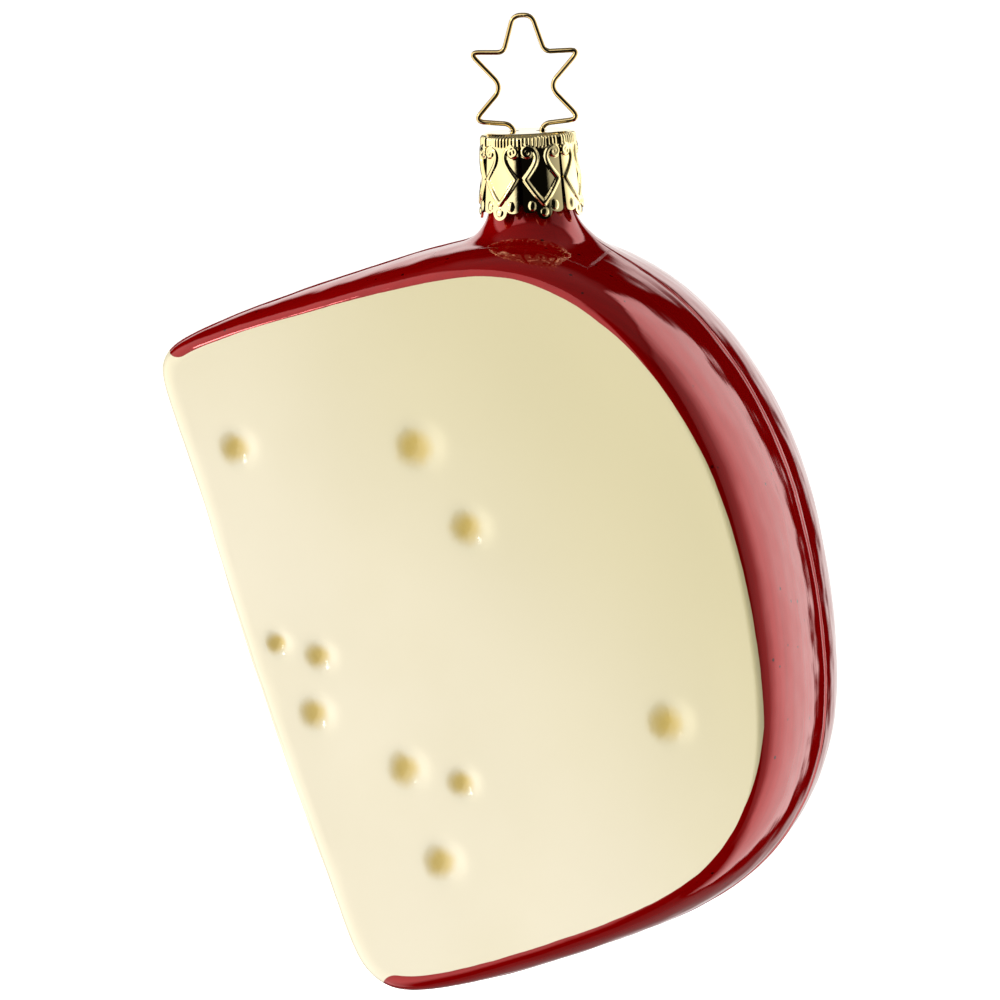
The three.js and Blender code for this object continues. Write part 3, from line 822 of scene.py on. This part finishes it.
class Wire:
    """A node's output that can stand in sums: an expression on wires adds the Math nodes for it."""

    def __init__(self, tree, socket=None):
        self.tree = tree
        self.socket = socket

    def node(self, kind, settings=None, inputs=None, output=0):
        """Adds any node: its settings are set first, then the values or links of its sockets."""
        made = self.tree.nodes.new(kind)
        for name, value in (settings or {}).items():
            if name == "stops":
                while len(made.color_ramp.elements) < len(value):
                    made.color_ramp.elements.new(1.0)
                for element, (position, level) in zip(made.color_ramp.elements, value):
                    element.position = position
                    element.color = (level, level, level, 1.0)
            else:
                setattr(made, name, value)
        for name, value in (inputs or {}).items():
            if isinstance(value, Wire):
                self.tree.links.new(value.socket, made.inputs[name])
            else:
                made.inputs[name].default_value = value
        return Wire(self.tree, made.outputs[output] if len(made.outputs) else None)

    def math(self, operation, *values):
        """Adds a Math node on numbers or wires."""
        return self.node("ShaderNodeMath", {"operation": operation}, dict(enumerate(values)))

    def __add__(self, other):
        return self.math("ADD", self, other)

    __radd__ = __add__

    def __sub__(self, other):
        return self.math("SUBTRACT", self, other)

    def __rsub__(self, other):
        return self.math("SUBTRACT", other, self)

    def __mul__(self, other):
        return self.math("MULTIPLY", self, other)

    __rmul__ = __mul__

    def __truediv__(self, other):
        return self.math("DIVIDE", self, other)

    def least(self, other):
        """The smaller of this wire and another value."""
        return self.math("MINIMUM", self, other)

    def step(self, low, high):
        """A smooth step from 0 at low to 1 at high."""
        settings = {"interpolation_type": "SMOOTHSTEP", "clamp": True}
        return self.node("ShaderNodeMapRange", settings, {"Value": self, "From Min": low, "From Max": high})

    def parts(self):
        """The three numbers of a vector."""
        split = self.node("ShaderNodeSeparateXYZ", inputs={"Vector": self}).socket.node
        return [Wire(self.tree, output) for output in split.outputs]

    def blend(self, low, high):
        """A colour between two, by this wire as the share of the second."""
        inputs = {"Factor": self, 6: low, 7: high}
        return self.node("ShaderNodeMix", {"data_type": "RGBA"}, inputs, 2)

    def noise(self, scale, detail=2.0, roughness=0.5):
        """Soft noise read at this wire's vector."""
        inputs = {"Vector": self, "Scale": scale, "Detail": detail, "Roughness": roughness}
        return self.node("ShaderNodeTexNoise", inputs=inputs)


def new_material(name):
    """An empty material and the wire that its nodes start from."""
    material = bpy.data.materials.new(name)
    material.use_nodes = True
    material.node_tree.nodes.clear()
    return material, Wire(material.node_tree)


def close_material(ink, surface):
    """Leads the finished shader to the material's output."""
    ink.node("ShaderNodeOutputMaterial", inputs={"Surface": surface})


def linear(red, green, blue):
    """A colour given in display values from 0 to 255, as the linear colour that sockets take."""
    levels = np.array([red, green, blue]) / 255
    dark = levels / 12.92
    light = ((levels + 0.055) / 1.055) ** 2.4
    return (*np.where(levels <= 0.04045, dark, light).tolist(), 1.0)


# ---------------------------------------------------------------- finishes

# Scales of the patterns: per metre on the part itself, and per mm on the streaks' own map.
BORDER_NOISE = 220.0
MOTTLE_NOISE = 420.0
CLOUD_NOISE = 35.0
STREAK_NOISE = 1.3
STREAK_SQUEEZE = (0.05, 1.0, 1.0)    # along the rind, across it, and from skin to skin
SPECK_CELLS = 620.0
SPECK_GROUPS = 170.0
COAT_NOISE = 700.0
WET_NOISE = 1300.0
WASH_NOISE = 160.0
GRAIN_NOISE = 1800.0
BUMP_DISTANCE = 0.0001


def dimple_gap(ink, spot):
    """Distance to the middle of the nearest dimple's ochre, in that dimple's radii."""
    nearest = None
    for side, dimples in ((-1, FRONT_DIMPLES), (1, BACK_DIMPLES)):
        for centre_s, centre_t, radius in dimples:
            inputs = {0: spot, 1: (centre_s - SPRAY_SHIFT * radius, centre_t, side * SIDE_GAP)}
            gap = ink.node("ShaderNodeVectorMath", {"operation": "DISTANCE"}, inputs, "Value") / radius
            nearest = gap if nearest is None else nearest.least(gap)
    return nearest


def cream_coat(glass, here, spot, nearest):
    """Cream that turns darker and yellower towards the rind, partly its own tone and partly painted shade on
    the side away from the key light, and deeper in faint clouds, with ochre sprayed into the dimples.
    """
    s, t, _ = spot.parts()
    # partly painted shade: the cream darkens towards the rind, the side away from the key light, besides its
    # own yellower tone
    rind_tone_and_shade = ((s * 0.9 - t * 0.45) / 60.0 + 0.25).step(0.0, 1.0)
    clouds = here.noise(CLOUD_NOISE, 3.0).step(0.3, 0.8) * 0.25
    spray = (nearest + (here.noise(MOTTLE_NOISE, 3.0) - 0.5) * 0.4).step(1.02, 0.2)
    cream = rind_tone_and_shade.blend(glass.cream_colour, glass.cream_deep_and_shade_colour)
    cream = clouds.blend(cream, glass.cream_deep_and_shade_colour)
    return (spray * 0.8).blend(cream, glass.spray_colour)


def lacquer_coat(glass, ink, here, streaks, thick_edge):
    """Red lacquer, deeper in its streaks and along its painted edge, with pin-sized dark bubbles in loose
    groups; on the neck under the cap it turns to a near-black painted shade, for the cap's shadow."""
    cells = {"Vector": here, "Scale": SPECK_CELLS}
    speck_gap = ink.node("ShaderNodeTexVoronoi", {"feature": "F1"}, cells, "Distance")
    specks = (1 - speck_gap.step(0.1, 0.16)) * here.noise(SPECK_GROUPS, 0.0).step(0.57, 0.61)
    deep = streaks.step(0.35, 0.75) * 0.5 + thick_edge * 0.5
    lacquer = deep.blend(glass.lacquer_colour, glass.lacquer_deep_colour)
    lacquer = (specks * 0.85).blend(lacquer, glass.speck_colour)
    # painted shade: the neck under the cap turns near-black, standing in for the cap's shadow seen through
    # the slits
    in_cap_shadow = here.parts()[2].step(CAP_SHADOW_HEIGHTS[0] * MM, CAP_SHADOW_HEIGHTS[1] * MM)
    return in_cap_shadow.blend(lacquer, glass.cap_shadow_colour)


def painted_glass(glass):
    """Glossy red lacquer over silvered glass on the rind and a satin cream coat on the cut faces, parted
    by a hand-painted border; the dimples are wet, and both coats are a little uneven."""
    material, ink = new_material("painted_glass")
    here = ink.node("ShaderNodeTexCoord", output="Object")
    border = ink.node("ShaderNodeAttribute", {"attribute_name": "border"}, output="Fac")
    spot = ink.node("ShaderNodeAttribute", {"attribute_name": "place"}, output="Vector")
    run = ink.node("ShaderNodeAttribute", {"attribute_name": "run"}, output="Vector")
    squeezed = ink.node("ShaderNodeMapping", inputs={"Vector": run, "Scale": STREAK_SQUEEZE})
    streaks = squeezed.noise(STREAK_NOISE, 4.0, 0.6)

    painted = border + (here.noise(BORDER_NOISE, 2.0) - 0.5) * 0.25
    red = painted.step(-0.03, 0.04)
    nearest = dimple_gap(ink, spot)
    cream = cream_coat(glass, here, spot, nearest)
    lacquer = lacquer_coat(glass, ink, here, streaks, painted.step(0.5, 0.05) * red)

    red_height = streaks * 0.5 + here.noise(MOTTLE_NOISE, 2.0) * 0.3
    cream_height = here.noise(COAT_NOISE, 2.0) * 0.15
    wet_height = nearest.step(1.2, 0.6) * here.noise(WET_NOISE, 1.0) * 1.4
    height = red * red_height + (1 - red) * cream_height + wet_height
    bump = ink.node("ShaderNodeBump", inputs={"Height": height, "Strength": 0.25, "Distance": BUMP_DISTANCE})
    surface = ink.node("ShaderNodeBsdfPrincipled", inputs={
        "Base Color": red.blend(cream, lacquer), "Roughness": 0.15 - red * 0.12, "Metallic": red * 0.3,
        "IOR": 1.55, "Normal": bump,
    })
    close_material(ink, surface)
    return material


def gold_metal(name, colour, deep_colour, roughness):
    """Bright metal with a thin gold wash: the wash is uneven, and a fine grain dulls it a little."""
    material, ink = new_material(name)
    here = ink.node("ShaderNodeTexCoord", output="Object")
    wash = here.noise(WASH_NOISE, 3.0).step(0.3, 0.75)
    grain = here.noise(GRAIN_NOISE, 2.0)
    bump = ink.node("ShaderNodeBump", inputs={"Height": grain, "Strength": 0.06, "Distance": BUMP_DISTANCE})
    surface = ink.node("ShaderNodeBsdfPrincipled", inputs={
        "Base Color": (wash * 0.6).blend(colour, deep_colour), "Roughness": grain * 0.05 + roughness,
        "Metallic": 1.0, "Normal": bump,
    })
    close_material(ink, surface)
    return material


# ---------------------------------------------------------------- stage

# Brightness of the side lights by the turn from -Y towards +X, in degrees: a soft light at the left, a dark
# front, and a long soft light at the right. Then where they end, and their brightness by height.
SIDE_TURNS = (
    (-180, 0.0), (-114, 0.0), (-106, 1.5), (-26, 1.5), (-18, 0.003), (54, 0.003),
    (62, 0.35), (96, 0.6), (110, 1.5), (120, 2.3), (140, 2.3), (160, 1.9), (180, 1.9),
)
SIDE_END = ((-180, 1.0), (157, 1.0), (159, 0.0), (180, 0.0))
SIDE_HEIGHTS = ((-90, 0.0), (-66, 0.0), (-50, 1.0), (46, 1.0), (50, 0.0), (90, 0.0))
SIDE_LEAN = 0.35                     # degrees that the side lights turn back for each degree of height
END_LEAN = 0.19                      # and that their far end turns on for each degree under the horizon
# The white sweep behind, by turn and by height, and the dim light overhead, by height.
SWEEP_TURNS = ((-180, 1.0), (-142, 1.0), (-135, 0.0), (172, 0.0), (175, 0.9), (180, 1.0))
SWEEP_HEIGHTS = ((-90, 0.1), (-60, 0.1), (-26, 0.2), (-12, 1.0), (21, 1.4), (25.5, 0.0), (90, 0.0))
OVERHEAD = ((-90, 0.0), (44, 0.0), (54, 0.2), (90, 0.2))
BRIGHTEST = 3.0                      # no brightness in these tables may pass this
# A small bright lamp at the upper left, for the fine glints.
LAMP_TURN = math.radians(-58.0)
LAMP_HEIGHT = math.radians(16.0)
LAMP_HALF_WIDTH = math.radians(4.0)
# Lights that only shade: name, turn from -Y towards +X, height over the horizon, share of the key's power.
SOFT_LIGHTS = (
    ("key_light", -58.0, 28.0, 1.15),
    ("low_light", 0.0, -56.0, 1.05),
    ("side_light", 96.0, 5.0, 0.5),
    ("back_light", 200.0, 15.0, 0.9),
)
SOFT_LIGHT_DISTANCE = 1.5
SENSOR_WIDTH = 36.0
WHITE = (1.0, 1.0, 1.0, 1.0)
WARM_WHITE = (1.0, 0.985, 0.96, 1.0)


def direction(turn, height):
    """The unit vector that points at a turn from -Y towards +X and a height over the horizon."""
    return Vector((math.sin(turn) * math.cos(height), -math.cos(turn) * math.cos(height), math.sin(height)))


def stood_off(aim, turn, height, distance):
    """The place of something that stands off from aim in a direction and faces it."""
    back = direction(turn, height)
    facing = back.to_track_quat("Z", "Y").to_matrix().to_4x4()
    return Matrix.Translation(Vector(aim) + back * distance) @ facing


def build_world(stage):
    """Light that surrounds the part: brightness read from turn and height, and plain white to the camera."""
    world = bpy.data.worlds.new("soft_studio")
    world.use_nodes = True
    world.node_tree.nodes.clear()
    ink = Wire(world.node_tree)
    x, y, z = ink.node("ShaderNodeTexCoord", output="Generated").parts()
    turn = ink.math("ARCTAN2", x, y * -1.0) / (2 * math.pi) + 0.5
    height = ink.math("ARCSINE", z) / math.pi + 0.5

    def ramp(position, table, limit):
        """Brightness read from a table whose angles run from minus the limit to the limit."""
        stops = [((angle + limit) / (2 * limit), level / BRIGHTEST) for angle, level in table]
        return ink.node("ShaderNodeValToRGB", {"stops": stops}, {"Fac": position}) * BRIGHTEST

    over_horizon = height - 0.5
    leaning = turn - over_horizon * (SIDE_LEAN / 2)
    ending = turn + over_horizon.least(0.0) * (END_LEAN / 2)
    sides = ramp(leaning, SIDE_TURNS, 180) * ramp(height, SIDE_HEIGHTS, 90) * ramp(ending, SIDE_END, 180)
    sweep = ramp(turn, SWEEP_TURNS, 180) * ramp(height, SWEEP_HEIGHTS, 90)
    above = ramp(height, OVERHEAD, 90)
    lamp_at = direction(LAMP_TURN, LAMP_HEIGHT)
    towards_lamp = x * lamp_at.x + y * lamp_at.y + z * lamp_at.z
    lamp = towards_lamp.step(math.cos(LAMP_HALF_WIDTH), math.cos(LAMP_HALF_WIDTH / 2)) * stage.lamp_strength
    light = (sides + sweep + above + lamp) * stage.light_strength
    soft = ink.node("ShaderNodeBackground", inputs={"Color": WARM_WHITE, "Strength": light})
    plain = ink.node("ShaderNodeBackground", inputs={"Color": WHITE, "Strength": 1.0})
    seen = ink.node("ShaderNodeLightPath", output="Is Camera Ray")
    mixed = ink.node("ShaderNodeMixShader", inputs={0: seen, 1: soft, 2: plain})
    ink.node("ShaderNodeOutputWorld", inputs={"Surface": mixed})
    bpy.context.scene.world = world


def build_soft_lights(stage):
    """Large soft discs round the part. They shade it, and leave its gloss to the surrounding light."""
    for name, turn, height, share in SOFT_LIGHTS:
        data = bpy.data.lights.new(name, "AREA")
        data.shape = "DISK"
        data.size = stage.key_size
        data.energy = stage.key_power * share
        light = bpy.data.objects.new(name, data)
        turn, height = math.radians(turn), math.radians(height)
        light.matrix_world = stood_off(stage.aim, turn, height, SOFT_LIGHT_DISTANCE)
        light.visible_glossy = False
        light.visible_camera = False
        bpy.context.scene.collection.objects.link(light)


def build_camera(stage):
    """The camera stands off along its azimuth and elevation, and is rolled a little about its own axis."""
    data = bpy.data.cameras.new("camera")
    data.lens = stage.lens
    data.sensor_width = SENSOR_WIDTH
    data.clip_end = 20.0
    camera = bpy.data.objects.new("camera", data)
    place_at = stood_off(stage.aim, stage.azimuth, stage.elevation, stage.distance)
    camera.matrix_world = place_at @ Matrix.Rotation(-stage.roll, 4, "Z")
    bpy.context.scene.collection.objects.link(camera)
    bpy.context.scene.camera = camera


def build_floor(stage):
    """A wide pale disc well below the part: rings of points round its middle."""
    skin = Skin()
    level = (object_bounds()[0][2] - stage.floor_drop) / MM
    turns = np.linspace(0, 2 * math.pi, FLOOR_SIDES, endpoint=False)
    radii = np.array([0.5, 1.0]) * stage.floor_radius / MM
    profile = np.column_stack([radii, np.full(len(radii), level)])
    numbers = skin.add(circles(profile, np.stack([np.cos(turns), np.sin(turns)], -1)))
    skin.weave(numbers, around=True)
    skin.fan(skin.add(np.array([0.0, 0.0, level])), numbers[0])
    floor = skin.piece("floor")
    floor.visible_glossy = False
    floor.visible_diffuse = False
    floor.visible_shadow = False
    material, ink = new_material("pale_floor")
    here = ink.node("ShaderNodeTexCoord", output="Object")
    tone = here.noise(3.0, 2.0).step(0.2, 0.8)
    surface = ink.node("ShaderNodeBsdfPrincipled", inputs={
        "Base Color": tone.blend(stage.floor_colour, WHITE), "Roughness": 0.9,
        "Emission Color": WHITE, "Emission Strength": 0.6,
    })
    close_material(ink, surface)
    floor.data.materials.append(material)
    floor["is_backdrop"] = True


# ---------------------------------------------------------------- settings

def amount(name, description, default, **more):
    """A number that a user may change, with its limits or unit."""
    return bpy.props.FloatProperty(name=name, description=description, default=default, **more)


def length(name, description, default):
    """A length in metres."""
    return amount(name, description, default, subtype="DISTANCE", unit="LENGTH", precision=5)


def angle(name, description, default):
    """An angle in radians."""
    return amount(name, description, default, subtype="ANGLE", unit="ROTATION")


def colour(name, description, default):
    """A linear colour."""
    return bpy.props.FloatVectorProperty(
        name=name, description=description, default=default, size=4, min=0.0, max=1.0, subtype="COLOR")


class GlassSettings(bpy.types.PropertyGroup):
    dimple_depth: length("Dimple depth", "How deep the dimples are pressed into the cut faces", 0.0008)
    ripple: length("Ripple", "Height of the slow waves in the blown glass", 0.00005)
    mould_line: length("Mould line", "Height of the crest left where the mould's halves met", 0.00013)
    lacquer_colour: colour("Lacquer", "Red of the rind", linear(156, 2, 3))
    lacquer_deep_colour: colour("Deep lacquer", "The rind where the lacquer is thick", linear(136, 0, 0))
    speck_colour: colour("Specks", "Pin-sized bubbles in the lacquer", linear(46, 2, 4))
    # painted shade: near-black for the neck inside the cap, standing in for the cap's shadow
    cap_shadow_colour: colour("Cap shadow", "Neck under the cap", linear(30, 3, 3))
    cream_colour: colour("Cream", "Coat of the cut faces", linear(229, 220, 194))
    # partly painted shade: this darker cream also stands in for the side of the faces away from the key
    # light
    cream_deep_and_shade_colour: colour("Deep cream", "Coat of the cut faces near the rind", linear(207, 197, 154))
    spray_colour: colour("Spray", "Ochre in the dimples", linear(210, 180, 84))


class CapSettings(bpy.types.PropertyGroup):
    stamp_height: length("Stamping", "Height of the scrolls and lozenges", 0.00026)
    rib_height: length("Ribs", "Height of the ribs round the shoulder", 0.00016)
    petal_flare: length("Petal flare", "How far the petals lean out at their foot", 0.00055)
    metal_colour: colour("Cap metal", "Pale gold wash", linear(246, 232, 178))
    deep_colour: colour("Deep gold", "Where the gold wash is thicker", linear(222, 196, 126))


class HangerSettings(bpy.types.PropertyGroup):
    wire_radius: length("Wire radius", "Radius of the round wire", 0.0003)
    metal_colour: colour("Wire metal", "Gold wash on the wire", linear(225, 200, 145))
    deep_colour: colour("Deep gold", "Where the gold wash is thicker", linear(190, 158, 98))


class StageSettings(bpy.types.PropertyGroup):
    azimuth: angle("Azimuth", "Turn of the camera from -Y towards +X", math.radians(15.04))
    elevation: angle("Elevation", "Height of the camera over the horizon", math.radians(7.0))
    roll: angle("Roll", "Clockwise roll of the camera about its own axis", math.radians(2.66))
    distance: length("Distance", "From the camera to the point it aims at", 1.0)
    aim: bpy.props.FloatVectorProperty(
        name="Aim", description="The point in the middle of the view", size=3, subtype="XYZ", unit="LENGTH",
        default=(-0.00553, 0.0, -0.05783), precision=5)
    lens: amount("Lens", "Focal length in mm", 300.0, min=10.0)
    light_strength: amount("Light", "Strength of the surrounding light", 1.0, min=0.0)
    lamp_strength: amount("Lamp", "Brightness of the small lamp", 18.0, min=0.0)
    key_power: amount("Key power", "Power of the front light in watts", 9.6, min=0.0)
    key_size: length("Key size", "Width of the front light", 0.9)
    floor_drop: length("Floor drop", "How far the floor lies under the part", 0.25)
    floor_radius: length("Floor radius", "Radius of the floor", 9.0)
    floor_colour: colour("Floor", "Pale floor", linear(246, 246, 245))


# ---------------------------------------------------------------- operators

class ORNAMENT_OT_stage(bpy.types.Operator):
    """Sets the camera, the soft light and the pale floor"""
    bl_idname = "ornament.stage"
    bl_label = "Stage"

    def execute(self, context):
        stage = context.scene.ornament_stage
        context.scene.view_settings.view_transform = "Standard"
        build_camera(stage)
        build_world(stage)
        build_soft_lights(stage)
        build_floor(stage)
        return {"FINISHED"}


class ORNAMENT_OT_glass_wedge(bpy.types.Operator):
    """Builds the moulded glass wedge with its lacquer, cream coat and dimples"""
    bl_idname = "ornament.glass_wedge"
    bl_label = "Glass wedge"

    def execute(self, context):
        glass = context.scene.ornament_glass
        wedge = build_glass(glass)
        wedge.data.materials.append(painted_glass(glass))
        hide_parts("glass_body")
        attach(wedge, "root")
        return {"FINISHED"}


class ORNAMENT_OT_cap(bpy.types.Operator):
    """Builds the stamped metal cap"""
    bl_idname = "ornament.cap"
    bl_label = "Cap"

    def execute(self, context):
        cap = context.scene.ornament_cap
        piece = build_cap(cap)
        piece.data.materials.append(gold_metal("cap_metal", cap.metal_colour, cap.deep_colour, 0.02))
        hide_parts("cap")
        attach(piece, "root")
        return {"FINISHED"}


class ORNAMENT_OT_hanger(bpy.types.Operator):
    """Builds the wire hanger"""
    bl_idname = "ornament.hanger"
    bl_label = "Hanger"

    def execute(self, context):
        hanger = context.scene.ornament_hanger
        piece = build_hanger(hanger)
        piece.data.materials.append(gold_metal("wire_metal", hanger.metal_colour, hanger.deep_colour, 0.06))
        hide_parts("hanger")
        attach(piece, "root")
        return {"FINISHED"}


STEPS = (ORNAMENT_OT_stage, ORNAMENT_OT_glass_wedge, ORNAMENT_OT_cap, ORNAMENT_OT_hanger)
SETTINGS = {
    "ornament_stage": StageSettings, "ornament_glass": GlassSettings,
    "ornament_cap": CapSettings, "ornament_hanger": HangerSettings,
}


class ORNAMENT_PT_pieces(bpy.types.Panel):
    """Lists the steps that build the ornament"""
    bl_idname = "ORNAMENT_PT_pieces"
    bl_label = "Ornament"
    bl_space_type = "VIEW_3D"
    bl_region_type = "UI"
    bl_category = "Ornament"

    def draw(self, context):
        for step in STEPS:
            self.layout.operator(step.bl_idname)
        for group, settings in SETTINGS.items():
            box = self.layout.box()
            for name in settings.__annotations__:
                box.prop(getattr(context.scene, group), name)


def register():
    for group in (*SETTINGS.values(), *STEPS, ORNAMENT_PT_pieces):
        bpy.utils.register_class(group)
    for name, settings in SETTINGS.items():
        setattr(bpy.types.Scene, name, bpy.props.PointerProperty(type=settings))


def unregister():
    for name in SETTINGS:
        delattr(bpy.types.Scene, name)
    for group in (ORNAMENT_PT_pieces, *reversed(STEPS), *SETTINGS.values()):
        bpy.utils.unregister_class(group)


def main():
    """Builds everything in order."""
    register()
    bpy.ops.ornament.stage()
    bpy.ops.ornament.glass_wedge()
    bpy.ops.ornament.cap()
    bpy.ops.ornament.hanger()


if __name__ == "__main__":
    main()
